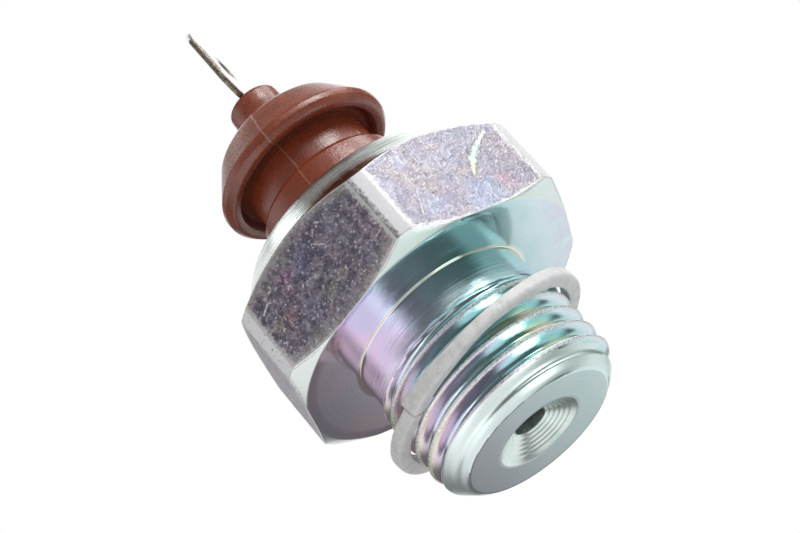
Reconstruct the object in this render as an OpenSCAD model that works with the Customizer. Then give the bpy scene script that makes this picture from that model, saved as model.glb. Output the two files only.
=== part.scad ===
// Oil pressure sender: a diaphragm pressure switch with a screw-in steel body,
// a moulded insulator with one blade terminal, and a loose sealing ring.
// The axis is Z, the end of the thread lies on z = 0 and the terminal points up.

/* [Body] */
// Width across the hexagon's flats
hex_af = 24; // [23.5:0.5:27]
// How far the hexagon bar's corners are turned back
corner_cut = 0.36; // [0.2:0.02:0.6]
// Height of the metal body above the sealing shoulder
body_h = 10.8; // [10.8:0.1:12]
// Radius of the flat face at the sealing shoulder, where the front chamfer starts
face_r = 12.2; // [11.6:0.1:12.6]
// Outer radius of the rolled rim
rim_r = 9.6; // [9.4:0.1:10.2]

/* [Thread] */
// Crest diameter of the thread
thread_d = 15.9; // [15.8:0.05:16]
// Pitch of the thread
thread_pitch = 1.5; // [1.25:0.25:1.5]
// Length from the sealing shoulder to the end of the thread
thread_len = 11.6; // [11:0.2:14]
// Diameter of the plain neck next to the shoulder
neck_d = 14.8; // [14.2:0.1:15]
// Length from the shoulder to the first crest of the thread
neck_len = 3.7; // [3.4:0.1:4]
// Radius of the flat at the end of the thread
end_r = 6.45; // [6:0.05:6.8]
// Diameter of the oil hole
oil_d = 2.6; // [2:0.2:4]
// Diameter of the countersink at the mouth of the oil hole
sink_d = 6.9; // [6:0.1:8]

/* [Sealing ring] */
// Bore of the loose ring
ring_id = 16.4; // [16.3:0.1:16.8]
// Outer diameter of the loose ring
ring_od = 19; // [18.4:0.1:22]
// Thickness of the loose ring
ring_t = 1.2; // [1:0.1:1.6]
// Distance from the shoulder to the middle of the ring
ring_drop = 5.5; // [4.5:0.1:6]
// Tilt of the ring on the thread, degrees
ring_tilt = 8.2; // [0:0.1:8.2]
// Direction in which the ring's upper face leans, degrees
ring_turn = -41.6; // [-180:0.1:180]

/* [Insulator] */
// Outer radius of the flange
flange_r = 7.5; // [7:0.05:8]
// Radius of the neck under the flange
neck_r = 5.3; // [5:0.1:5.8]
// Radius of the boss around the terminal
boss_r = 2.2; // [2.1:0.1:2.6]
// Height of the boss top above the shoulder
boss_top = 25; // [24.8:0.1:27]

/* [Terminal] */
// Width of the blade
blade_w = 6.3; // [4.8:0.1:6.3]
// Thickness of the blade
blade_t = 0.6; // [0.5:0.1:0.8]
// Length of the blade above the boss
blade_l = 7.8; // [6.5:0.1:9]
// Diameter of the hole in the blade
blade_hole_d = 1.7; // [1.4:0.1:2]
// Direction in which the blade's width lies, degrees
blade_turn = -15; // [-180:1:180]

/* [Switch] */
// Travel of the plunger from closed contact to its stop
travel = 0.6; // [0.4:0.05:0.7]
// Thickness of each film of the diaphragm
film_t = 0.2; // [0.1:0.05:0.2]
// Wire diameter of the contact spring
wire_d = 0.5; // [0.4:0.05:0.55]
// Radial clearance between the plunger and its guide
guide_gap = 0.05; // [0.03:0.01:0.08]

/* [Hidden] */
$fn = 96;
eps = 0.01;
zs = thread_len;

// hexagon and the cones turned on it
corner_r = hex_af / sqrt(3);
chamfer_rise = 0.62;
cone_top = body_h - 0.35;
cone_r = rim_r + 0.3;
cone_foot_r = hex_af / 2 - 0.2;
cone_foot_z = body_h - 2.67;
cone_foot_rise = 0.755;
rim_round = 0.6;

// thread form: flanks at 30 degrees to the plane of the ring
crest_r = thread_d / 2;
groove_depth = 0.6134 * thread_pitch;
crest_flat = thread_pitch / 8;
groove_mouth = (thread_pitch - crest_flat) / 2;
groove_floor = groove_mouth - groove_depth * tan(30);
end_bevel = crest_r - end_r;
groove_count = floor((thread_len - neck_len - crest_flat) / thread_pitch);
first_groove = thread_len - neck_len - crest_flat - groove_mouth;

// thicknesses of the stack that the rolled lip holds together
lip_t = 1.1;
washer_t = 0.8;
base_t = 2.6;
contact_t = 0.6;
disc_t = 0.4;
plunger_head_t = 0.8;
stop_gap = 0.3;
guide_floor = 0.8;
guide_pocket_t = disc_t + plunger_head_t + travel + stop_gap;
guide_t = guide_pocket_t + guide_floor;

// cavity in the body, heights above the shoulder
cavity_r = 8.8;
lip_r = 7.4;
chamber_r = 4.4;
chamber_depth = 0.8;
seal_depth = 1.0;
seal_in_r = 5.0;
seal_out_r = 6.8;
shoulder_z = body_h - lip_t - washer_t;
base_z = shoulder_z - base_t;
contact_z = base_z - contact_t;
disc_z = contact_z - guide_t;
floor_z = disc_z - 2 * film_t;
chamber_z = floor_z - chamber_depth;
seal_groove_z = floor_z - seal_depth;
oil_r = oil_d / 2;
sink_r = sink_d / 2;
sink_depth = (sink_r - oil_r) * tan(28);

// inner pieces, heights above the shoulder
part_r = cavity_r - 0.05;
film_z = floor_z;
backing_z = film_z + film_t;
disc_r = 4.0;
plunger_z = disc_z + disc_t;
plunger_head_r = 3.4;
plunger_r = 1.6;
guide_r = plunger_r + guide_gap;
guide_pocket_r = 4.3;
contact_in_r = 4.9;
contact_lip_r = 5.8;
contact_lip_t = 0.2;
plate_z = contact_z + contact_t + contact_lip_t;
plate_t = 0.4;
plate_r = 5.6;
pip_r = 1.4;
pip_t = 0.35;
plate_vent_r = 3.8;

// insulator, heights above the shoulder
base_r = cavity_r - 0.1;
stem_r = 6.5;
step_r = 6.0;
neck_h = 2.4;
flange_t = 1.1;
dome_h = 4.4;
boss_h = 2.5;
undercut = 0.55;
dome_top_z = boss_top - boss_h;
flange_top_z = dome_top_z - dome_h;
flange_z = flange_top_z - flange_t;
step_z = flange_z - neck_h;
room_r = 6.3;
room_z = plate_z + plate_t + pip_t + travel + stop_gap;
spring_bore_r = 2.75;
seal_wall_r = 7.6;
ring_groove_z = base_z + 0.75;
ring_groove_t = 1.2;

// spring, cup, screw and bush, heights above the shoulder
spring_r = 1.95;
spring_z = plate_z + plate_t;
spring_turns = 5;
bush_cover = 6.0;
bush_len = 5.0;
bush_top = boss_top - bush_cover;
bush_z = bush_top - bush_len;
cup_gap = 0.7;
cup_z = bush_z - cup_gap;
cup_t = 0.4;
cup_r = 2.65;
cup_wall = 0.3;
cup_depth = 0.9;
screw_r = 1.9;
screw_t = 3.0;
screw_gap = 0.6;
bush_r = 3.0;
bush_floor = cup_z + cup_t + screw_t + screw_gap;
tang_w = 3.0;
tang_gap = 0.3;
tang_z = bush_floor + tang_gap;

// blade, heights above the shoulder
blade_z = boss_top + 0.25;
blade_tip = blade_z + blade_l;
blade_cut = 1.9;
blade_hole_drop = 4.1;
blade_hole_z = blade_tip - blade_hole_drop;

// flat ring from an inner to an outer radius, standing on z
module ring(inner, outer, z, height) {
    translate([0, 0, z])
        linear_extrude(height)
            difference() {
                circle(outer);
                circle(inner);
            }
}

// hexagon with turned corners, one corner on +X
module hex_outline() {
    intersection() {
        circle(corner_r, $fn = 6);
        circle(corner_r - corner_cut);
    }
}

// outline of the cones that cut the hexagon bar, front chamfer and back cone
module bar_outline() {
    reach = corner_r + 2;
    top_r = cone_r - rim_round * 0.4;
    polygon([
        [0, 0],
        [face_r, 0],
        [reach, (reach - face_r) * chamfer_rise],
        [reach, cone_foot_z - (reach - cone_foot_r) * cone_foot_rise],
        [cone_foot_r, cone_foot_z],
        [cone_r, cone_top],
        [top_r, body_h - rim_round * 0.3],
        [top_r - rim_round, body_h],
        [0, body_h]
    ]);
}

// plain outline of the shank, then its grooves as rings of a V
module shank() {
    difference() {
        rotate_extrude()
            polygon([
                [0, 0],
                [end_r, 0],
                [crest_r, end_bevel],
                [crest_r, thread_len - neck_len],
                [neck_d / 2, thread_len - neck_len + (crest_r - neck_d / 2) * tan(30)],
                [neck_d / 2, thread_len + eps],
                [0, thread_len + eps]
            ]);
        for (i = [0 : groove_count - 1])
            translate([0, 0, first_groove - i * thread_pitch])
                thread_groove();
    }
}

module thread_groove() {
    slack = 0.5;
    rotate_extrude()
        polygon([
            [crest_r - groove_depth, -groove_floor],
            [crest_r + slack, -groove_mouth - slack * tan(30)],
            [crest_r + slack, groove_mouth + slack * tan(30)],
            [crest_r - groove_depth, groove_floor]
        ]);
}

// everything bored out of the body: oil hole, chamber, seal groove, cavity and lip
module bores() {
    translate([0, 0, -eps])
        cylinder(h = thread_len + chamber_z + 2 * eps, r = oil_r);
    rotate_extrude()
        polygon([[0, -eps], [sink_r + eps, -eps], [oil_r, sink_depth], [0, sink_depth]]);
    translate([0, 0, zs + chamber_z])
        cylinder(h = floor_z - chamber_z + eps, r = chamber_r);
    ring(seal_in_r, seal_out_r, zs + seal_groove_z, floor_z - seal_groove_z + eps);
    translate([0, 0, zs + floor_z])
        cylinder(h = shoulder_z + washer_t - floor_z, r = cavity_r);
    translate([0, 0, zs + shoulder_z])
        cylinder(h = body_h - shoulder_z + eps, r = lip_r);
}

module housing() {
    color([0.72, 0.76, 0.78])
    difference() {
        union() {
            shank();
            translate([0, 0, zs])
                intersection() {
                    linear_extrude(body_h)
                        hex_outline();
                    rotate_extrude()
                        bar_outline();
                }
        }
        bores();
    }
}

module sealing_ring() {
    edge = 0.15;
    inner = ring_id / 2;
    outer = ring_od / 2;
    half = ring_t / 2;
    color([0.86, 0.86, 0.84])
    translate([0, 0, zs - ring_drop])
        rotate([0, 0, ring_turn])
            rotate([0, ring_tilt, 0])
                rotate_extrude()
                    polygon([
                        [inner, -half],
                        [outer - edge, -half],
                        [outer, edge - half],
                        [outer, half - edge],
                        [outer - edge, half],
                        [inner, half]
                    ]);
}

// rubber ring squeezed in its groove: a section with round sides
module squeezed_ring(middle_r, width, height, z) {
    round_r = height / 2;
    offset_r = width / 2 - round_r;
    translate([0, 0, z + round_r])
        rotate_extrude() {
            for (s = [-1, 1])
                translate([middle_r + s * offset_r, 0])
                    circle(round_r, $fn = 32);
            translate([middle_r - offset_r, -round_r])
                square([2 * offset_r, height]);
        }
}

module diaphragm_seal() {
    color([0.12, 0.12, 0.13])
        squeezed_ring((seal_in_r + seal_out_r) / 2, seal_out_r - seal_in_r - 0.3,
            floor_z - seal_groove_z, zs + seal_groove_z);
}

module diaphragm() {
    color([0.80, 0.52, 0.12])
    translate([0, 0, zs + film_z])
        cylinder(h = film_t, r = part_r);
}

module backing_film() {
    color([0.88, 0.62, 0.20])
    translate([0, 0, zs + backing_z])
        cylinder(h = film_t, r = part_r);
}

module pressure_disc() {
    color([0.66, 0.67, 0.69])
    translate([0, 0, zs + disc_z])
        cylinder(h = disc_t, r = disc_r);
}

module plunger() {
    foot = 0.3;
    color([0.90, 0.88, 0.80])
    translate([0, 0, zs + plunger_z]) {
        rotate_extrude()
            polygon([
                [0, 0],
                [plunger_head_r - foot, 0],
                [plunger_head_r, foot],
                [plunger_head_r, plunger_head_t],
                [0, plunger_head_t]
            ]);
        cylinder(h = plate_z - plunger_z, r = plunger_r);
    }
}

module guide_plate() {
    relief = 0.3;
    color([0.60, 0.62, 0.64])
    translate([0, 0, zs + disc_z])
        difference() {
            rotate_extrude()
                polygon([
                    [0, 0],
                    [part_r, 0],
                    [part_r, guide_t],
                    [0, guide_t]
                ]);
            translate([0, 0, -eps])
                cylinder(h = guide_pocket_t + eps, r = guide_pocket_r);
            translate([0, 0, -eps])
                cylinder(h = guide_t + 2 * eps, r = guide_r);
            translate([0, 0, guide_t - relief])
                cylinder(h = relief + eps, r1 = guide_r, r2 = guide_r + relief);
        }
}

module contact_ring() {
    color([0.86, 0.70, 0.36])
    translate([0, 0, zs + contact_z]) {
        ring(contact_in_r, part_r, 0, contact_t);
        ring(contact_in_r, contact_lip_r, 0, contact_t + contact_lip_t);
    }
}

module contact_plate() {
    vent_d = 1.2;
    color([0.88, 0.86, 0.80])
    translate([0, 0, zs + plate_z])
        difference() {
            union() {
                cylinder(h = plate_t, r = plate_r);
                translate([0, 0, plate_t - eps])
                    cylinder(h = pip_t + eps, r1 = pip_r, r2 = pip_r - 0.3);
            }
            for (a = [0 : 120 : 240])
                rotate(a)
                    translate([plate_vent_r, 0, -eps])
                        cylinder(h = plate_t + 2 * eps, d = vent_d, $fn = 24);
        }
}

// one closed skin swept along the wire: a flat turn at each end and a rising coil between
module contact_spring() {
    sides = 8;
    rings_per_turn = 20;
    height = cup_z - spring_z - wire_d;
    steps = (spring_turns + 2) * rings_per_turn;
    closed_rise = wire_d * 1.06;
    rise = function (u)
        u < 1 ? closed_rise * u
        : u > spring_turns + 1 ? height - closed_rise * (spring_turns + 2 - u)
        : closed_rise + (height - 2 * closed_rise) * (u - 1) / spring_turns;
    points = [for (i = [0 : steps]) for (k = [0 : sides - 1])
        let (u = i / rings_per_turn, a = 360 * u, b = 360 * k / sides,
            r = spring_r + wire_d / 2 * cos(b))
        [r * cos(a), r * sin(a), rise(u) + wire_d / 2 * sin(b)]];
    skin = [for (i = [0 : steps - 1]) for (k = [0 : sides - 1])
        let (n = (k + 1) % sides)
        [i * sides + k, i * sides + n, (i + 1) * sides + n, (i + 1) * sides + k]];
    color([0.70, 0.71, 0.73])
    translate([0, 0, zs + spring_z + wire_d / 2])
        polyhedron(points = points, faces = concat(skin,
            [[for (k = [sides - 1 : -1 : 0]) k], [for (k = [0 : sides - 1]) steps * sides + k]]));
}

module spring_cup() {
    color([0.84, 0.72, 0.42])
    translate([0, 0, zs + cup_z]) {
        cylinder(h = cup_t, r = cup_r);
        ring(cup_r - cup_wall, cup_r, -cup_depth, cup_depth + cup_t);
    }
}

module adjusting_screw() {
    slot_w = 0.6;
    slot_depth = 0.8;
    color([0.80, 0.66, 0.34])
    translate([0, 0, zs + cup_z + cup_t])
        difference() {
            cylinder(h = screw_t, r = screw_r);
            translate([-screw_r - eps, -slot_w / 2, screw_t - slot_depth])
                cube([2 * screw_r + 2 * eps, slot_w, slot_depth + eps]);
        }
}

// brass bush with two holding grooves around it and a slot for the blade's tang
module threaded_bush() {
    groove_r = bush_r - 0.3;
    groove_t = 0.6;
    groove_low = 1.2;
    groove_step = 2.0;
    color([0.78, 0.62, 0.28])
    translate([0, 0, zs])
        difference() {
            translate([0, 0, bush_z])
                cylinder(h = bush_top - bush_z, r = bush_r);
            translate([0, 0, bush_z - eps])
                cylinder(h = bush_floor - bush_z + eps, r = screw_r);
            rotate(blade_turn)
                translate([-tang_w / 2, -blade_t / 2, tang_z])
                    cube([tang_w, blade_t, bush_top - tang_z + eps]);
            for (i = [0, 1])
                ring(groove_r, bush_r + 1, bush_z + groove_low + i * groove_step, groove_t);
        }
}

// flat stamping: blade with cut corners and a hole, on a narrow tang
module terminal_blade() {
    half = blade_w / 2;
    color([0.82, 0.81, 0.77])
    translate([0, 0, zs])
        rotate(blade_turn)
            rotate([90, 0, 0])
                translate([0, 0, -blade_t / 2])
                    linear_extrude(blade_t)
                        difference() {
                            polygon([
                                [-tang_w / 2, tang_z],
                                [tang_w / 2, tang_z],
                                [tang_w / 2, blade_z],
                                [half, blade_z],
                                [half, blade_tip - blade_cut],
                                [half - blade_cut, blade_tip],
                                [blade_cut - half, blade_tip],
                                [-half, blade_tip - blade_cut],
                                [-half, blade_z],
                                [-tang_w / 2, blade_z]
                            ]);
                            translate([0, blade_hole_z])
                                circle(d = blade_hole_d, $fn = 32);
                        }
}

// half section of the moulding from its base to the boss
module insulator_outline() {
    edge = 0.5;
    rim = 0.35;
    rim_in = flange_r - rim;
    difference() {
        union() {
            polygon([
                [0, base_z],
                [base_r, base_z],
                [base_r, shoulder_z],
                [stem_r + 0.15, shoulder_z],
                [stem_r, shoulder_z + washer_t + 1.4],
                [step_r, step_z - 0.3],
                [step_r - 0.25, step_z],
                [neck_r, step_z + 0.15],
                [neck_r, flange_z + undercut],
                [rim_in - rim, flange_z + 0.1],
                [rim_in, flange_z],
                [flange_r - rim / 4, flange_z + rim / 2],
                [flange_r, flange_z + rim],
                [flange_r, flange_top_z - rim / 2],
                [flange_r - rim / 4, flange_top_z + rim / 2],
                [0.92 * flange_r, flange_top_z + 0.19 * dome_h],
                [0.83 * flange_r, flange_top_z + 0.43 * dome_h],
                [0.77 * flange_r, flange_top_z + 0.58 * dome_h],
                [0.72 * flange_r, flange_top_z + 0.67 * dome_h],
                [0.60 * flange_r, flange_top_z + 0.80 * dome_h],
                [0.47 * flange_r, flange_top_z + 0.91 * dome_h],
                [boss_r + 0.5, dome_top_z - 0.05],
                [boss_r + 0.15, dome_top_z + 0.2],
                [boss_r, boss_top - edge],
                [0, boss_top - edge]
            ]);
            translate([0, boss_top - edge])
                square([boss_r - edge, edge]);
            translate([boss_r - edge, boss_top - edge])
                circle(edge, $fn = 32);
        }
        translate([neck_r + undercut, flange_z + 0.05])
            circle(undercut, $fn = 32);
        translate([-1, base_z - eps])
            square([1, boss_top]);
    }
}

module insulator() {
    color([0.52, 0.24, 0.20])
    translate([0, 0, zs])
        difference() {
            rotate_extrude()
                insulator_outline();
            translate([0, 0, base_z - eps])
                cylinder(h = room_z - base_z + eps, r = room_r);
            cylinder(h = bush_z, r = spring_bore_r);
            translate([0, 0, bush_z - eps])
                cylinder(h = bush_top - bush_z + eps, r = bush_r);
            rotate(blade_turn)
                translate([-tang_w / 2, -blade_t / 2, tang_z])
                    cube([tang_w, blade_t, boss_top]);
            ring(seal_wall_r, base_r + 1, ring_groove_z, ring_groove_t);
        }
}

module insulator_seal() {
    color([0.10, 0.10, 0.11])
        squeezed_ring((seal_wall_r + cavity_r) / 2, cavity_r - seal_wall_r, ring_groove_t - 0.1,
            zs + ring_groove_z + 0.05);
}

module crimp_washer() {
    color([0.64, 0.65, 0.66])
        ring(stem_r + 0.3, part_r, zs + shoulder_z, washer_t);
}

housing();
sealing_ring();
diaphragm_seal();
diaphragm();
backing_film();
pressure_disc();
plunger();
guide_plate();
contact_ring();
contact_plate();
contact_spring();
spring_cup();
adjusting_screw();
threaded_bush();
terminal_blade();
insulator();
insulator_seal();
crimp_washer();
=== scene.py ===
"""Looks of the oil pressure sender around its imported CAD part.

Sizes are in mm in the CAD frame, and meshes are in metres.
"""

import math

import bmesh
import bpy
import numpy as np
from mathutils import Matrix, Vector


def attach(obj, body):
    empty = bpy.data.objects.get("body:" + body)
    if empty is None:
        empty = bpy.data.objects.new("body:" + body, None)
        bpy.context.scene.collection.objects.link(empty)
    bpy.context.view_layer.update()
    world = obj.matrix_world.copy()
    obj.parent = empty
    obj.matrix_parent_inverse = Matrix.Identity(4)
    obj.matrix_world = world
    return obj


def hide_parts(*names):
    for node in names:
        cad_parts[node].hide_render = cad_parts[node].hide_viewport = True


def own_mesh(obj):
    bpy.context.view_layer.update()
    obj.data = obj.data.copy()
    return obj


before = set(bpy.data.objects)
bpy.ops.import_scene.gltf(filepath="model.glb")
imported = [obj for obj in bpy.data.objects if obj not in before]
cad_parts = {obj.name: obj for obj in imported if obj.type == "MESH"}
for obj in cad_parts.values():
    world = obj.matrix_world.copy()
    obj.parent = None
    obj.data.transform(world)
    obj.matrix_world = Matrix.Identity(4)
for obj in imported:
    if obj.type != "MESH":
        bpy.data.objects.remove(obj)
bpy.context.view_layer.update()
scene = bpy.context.scene
scene.view_settings.view_transform = "Standard"
MM = 0.001

# sizes repeated from the CAD source, with the heights of the cone and the top over the shoulder
SHOULDER = 11.6
FLAT_R = 12.0
CORNER_R = 13.4964
FACE_R = 12.2
CHAMFER_RISE = 0.62
CONE_RISE = 0.755
CONE_FOOT = (11.8, 8.13)
BODY_TOP = 10.8
CREST_R = 7.95
ROOT_R = 7.03
NECK_R = 7.4
END_R = 6.45
SINK_R = 3.45
SINK_SLOPE = math.tan(math.radians(28))
OIL_R = 1.3
PITCH = 1.5
BLADE_TURN = math.radians(-15)

# cavity of the body, out of sight, with heights over the shoulder. Its chamber is wider and its
# seal groove lies further out than in the CAD source.
LIP_R = 7.4
LIP_UNDER = 9.7
CAVITY_R = 8.8
CAVITY_FLOOR = 2.4
SEAL_GROOVE_OUT = 8.0
SEAL_GROOVE_IN = 6.0
SEAL_GROOVE_FLOOR = 1.4
CHAMBER_R = 4.6
CHAMBER_FLOOR = 1.6

# thread: the crest's height where the helix crosses +X, and the depth under the shoulder where the
# thread's mesh ends
FIRST_CREST = 1.514
THREAD_STOP = 2.8

# hexagon: degrees from a corner to the middle of a flat, and to the edge of the turned corner
HALF_SECTOR = 30
SECTOR = 2 * HALF_SECTOR
TURNED_CORNER = 2.9

# camera fitted to the photograph: width and focal length in pixels, sensor and eye in mm, and what
# it calls right, up and towards itself
PHOTO_WIDTH = 800
FOCAL_PIXELS = 2384.06
SENSOR = 36
EYE = Vector((157.69912936, -24.20612381, -62.53899677))
RIGHT = Vector((-0.17645933714980086, 0.7878601412590327, -0.5900326263419257))
UP = Vector((0.4337854858246859, 0.6003341878987323, 0.6718846739789586))
BACK = Vector((0.8835679117195773, -0.13738726525871042, -0.4476968670029293))


def toward(right, up, back):
    """A direction in the CAD frame, given as the camera sees it."""
    return (RIGHT * right + UP * up + BACK * back).normalized()


def add_object(name, data):
    """A new object in the scene."""
    o = bpy.data.objects.new(name, data)
    scene.collection.objects.link(o)
    return o


def make_camera():
    """The camera of the photograph."""
    data = bpy.data.cameras.new("camera")
    data.sensor_width = SENSOR
    data.lens = FOCAL_PIXELS / PHOTO_WIDTH * SENSOR
    data.clip_start = 0.01
    data.clip_end = 10
    camera = add_object("camera", data)
    m = Matrix((RIGHT, UP, BACK)).transposed().to_4x4()
    m.translation = EYE * MM
    camera.matrix_world = m
    scene.camera = camera


make_camera()


# node building
class Nodes:
    """A node tree and short calls that add nodes to it. Points are object coordinates in mm."""

    def __init__(self, name=None, tree=None):
        if tree is None:
            self.material = bpy.data.materials.new(name)
            self.material.use_nodes = True
            tree = self.material.node_tree
            self.bsdf = tree.nodes["Principled BSDF"]
        self.tree = tree

    def set(self, socket, value):
        """Link an output to a socket, or give the socket a value."""
        if isinstance(value, bpy.types.NodeSocket):
            self.tree.links.new(value, socket)
        elif isinstance(value, (tuple, list)) and len(value) == 3 and socket.type == "RGBA":
            socket.default_value = (*value, 1)
        else:
            socket.default_value = value

    def add(self, kind, *values):
        """A new node with its first inputs set in their order."""
        node = self.tree.nodes.new(kind)
        for i, value in enumerate(values):
            self.set(node.inputs[i], value)
        return node

    def shade(self, **values):
        """Set inputs of the surface shader by name, and return the finished material."""
        for name, value in values.items():
            self.set(self.bsdf.inputs[name.replace("_", " ")], value)
        return self.material

    def point(self):
        coords = self.add("ShaderNodeTexCoord")
        return self.vector("SCALE", coords.outputs["Object"], scale=1 / MM)

    def vector(self, op, a, b=None, scale=None):
        node = self.add("ShaderNodeVectorMath")
        node.operation = op
        self.set(node.inputs[0], a)
        if b is not None:
            self.set(node.inputs[1], b)
        if scale is not None:
            self.set(node.inputs["Scale"], scale)
        return node.outputs["Value" if op in ("DOT_PRODUCT", "LENGTH", "DISTANCE") else "Vector"]

    def math(self, op, a, b=0.0, c=0.0, clamp=False):
        node = self.add("ShaderNodeMath", a, b, c)
        node.operation = op
        node.use_clamp = clamp
        return node.outputs[0]

    def times(self, a, b):
        return self.math("MULTIPLY", a, b)

    def madd(self, a, b, c, clamp=False):
        """a times b plus c."""
        return self.math("MULTIPLY_ADD", a, b, c, clamp)

    def centred(self, a):
        """A value from 0 to 1 moved to lie round 0."""
        return self.math("SUBTRACT", a, 0.5)

    def split(self, v):
        return self.add("ShaderNodeSeparateXYZ", v).outputs

    def join(self, x, y, z):
        return self.add("ShaderNodeCombineXYZ", x, y, z).outputs[0]

    def radius(self, p):
        x, y, _ = self.split(p)
        return self.math("SQRT", self.math("ADD", self.times(x, x), self.times(y, y)))

    def noise(self, v, scale, detail=4.0, rough=0.5, distortion=0.0):
        node = self.add("ShaderNodeTexNoise", v)
        self.set(node.inputs["Scale"], scale)
        self.set(node.inputs["Detail"], detail)
        self.set(node.inputs["Roughness"], rough)
        self.set(node.inputs["Distortion"], distortion)
        return node.outputs[0]

    def range(self, v, lo, hi):
        """A smooth step from 0 at lo to 1 at hi, where lo may be the larger."""
        node = self.add("ShaderNodeMapRange", v, lo, hi)
        node.interpolation_type = "SMOOTHSTEP"
        return node.outputs[0]

    def ramp(self, v, stops):
        node = self.add("ShaderNodeValToRGB", v)
        e = node.color_ramp.elements
        while len(e) < len(stops):
            e.new(0.5)
        for x, (at, colour) in zip(e, stops):
            x.position = at
            x.color = (*colour, 1)
        return node.outputs[0]

    def mix(self, amount, a, b, kind="MIX"):
        node = self.add("ShaderNodeMix", amount)
        node.data_type = "RGBA"
        node.blend_type = kind
        self.set(node.inputs[6], a)
        self.set(node.inputs[7], b)
        return node.outputs[2]

    def tint(self, colour, mask, share, tint):
        """The colour with a share of a tint where the mask is 1."""
        return self.mix(self.times(mask, share), colour, tint)

    def bump(self, height, depth, strength=1.0, normal=None):
        """Normal of a bump, its depth in mm, or from a socket in metres."""
        node = self.add("ShaderNodeBump", strength)
        if not isinstance(depth, bpy.types.NodeSocket):
            depth *= MM
        self.set(node.inputs["Distance"], depth)
        self.set(node.inputs["Height"], height)
        if normal is not None:
            self.set(node.inputs["Normal"], normal)
        return node.outputs[0]

    def tangent(self):
        node = self.add("ShaderNodeTangent")
        node.direction_type = "RADIAL"
        node.axis = "Z"
        return node.outputs[0]


# colours of the passivation film, from teal over lilac, pink and yellow back to teal
FILM = [
    (0.00, (0.44, 0.70, 0.71)),
    (0.14, (0.57, 0.78, 0.80)),
    (0.28, (0.70, 0.85, 0.91)),
    (0.42, (0.70, 0.71, 0.83)),
    (0.55, (0.78, 0.72, 0.87)),
    (0.68, (0.90, 0.72, 0.81)),
    (0.79, (0.92, 0.87, 0.72)),
    (0.90, (0.66, 0.83, 0.70)),
    (1.00, (0.46, 0.73, 0.70)),
]


def film_hue(n, p, grain, cloudy=0.45):
    """Place in FILM: teal towards +Y, lilac and pink towards -Y, with soft cloudy borders."""
    _, y, _ = n.split(p)
    h = n.math("ABSOLUTE", n.madd(y, -0.05, 0.22))
    h = n.math("MINIMUM", h, 0.60)
    h = n.madd(n.centred(n.noise(p, 0.20, 3.0, 0.55, 0.4)), cloudy, h)
    return n.madd(n.centred(grain), 0.16, h)


def turned_grain(n, p, scale=5.0):
    """Fine lines that run round the axis, as a lathe leaves them."""
    x, _, z = n.split(p)
    return n.noise(n.join(n.radius(p), z, n.times(x, 0.004)), scale, 5.0, 0.72)


def face_zinc():
    """Shoulder face, chamfer and neck: turned smooth, so they mirror each other."""
    n = Nodes("zinc_face")
    p = n.point()
    x, y, z = n.split(p)
    r = n.radius(p)
    grain = turned_grain(n, p)
    neck = n.range(z, SHOULDER - 0.05, SHOULDER - 0.4)
    colour = n.ramp(n.madd(neck, 0.06, film_hue(n, p, grain)), FILM)
    pale = n.range(r, FACE_R - 0.25, FACE_R + 0.05)
    colour = n.tint(colour, pale, 0.75, (0.80, 0.92, 0.86))
    # warm light in the fillet between neck and face
    root = n.range(n.math("ABSOLUTE", n.math("SUBTRACT", r, NECK_R + 0.14)), 0.14, 0.05)
    root = n.times(root, n.range(z, SHOULDER - 0.25, SHOULDER - 0.1))
    colour = n.tint(colour, root, 0.8, (0.92, 0.80, 0.58))
    speck = n.range(n.noise(p, 3.4, 4.0, 0.7), 0.70, 0.76)
    colour = n.tint(colour, speck, 0.5, (0.20, 0.22, 0.26))
    # distance to the flat's plane, for the shade and the burr along the chamfer's outer edge
    sector = math.radians(HALF_SECTOR)
    fold = n.math("SUBTRACT", sector, n.math("PINGPONG", n.math("ARCTAN2", y, x), sector))
    across = n.times(r, n.math("COSINE", fold))
    rub = n.noise(p, 3.0, 5.0, 0.72)
    shade = n.times(n.range(n.madd(rub, 0.3, across), 11.95, 12.05), n.range(r, 12.35, 12.55))
    colour = n.tint(colour, shade, 0.6, (0.28, 0.27, 0.30))
    burr = n.times(n.range(n.madd(rub, 0.5, across), 12.10, 12.20), n.range(r, 12.3, 12.5))
    colour = n.tint(colour, burr, 0.8, (0.90, 0.92, 0.92))
    rough = n.madd(n.noise(p, 0.8, 4.0, 0.6), 0.08, 0.07)
    rough = n.madd(neck, 0.03, rough)
    rough = n.madd(pale, 0.12, rough)
    depth = n.madd(neck, 1.10, 0.12)
    lines = n.bump(n.times(grain, depth), 0.018)
    return n.shade(Base_Color=colour, Metallic=1.0, Roughness=rough, Anisotropic=0.3,
                   Tangent=n.tangent(), Normal=lines)


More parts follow.
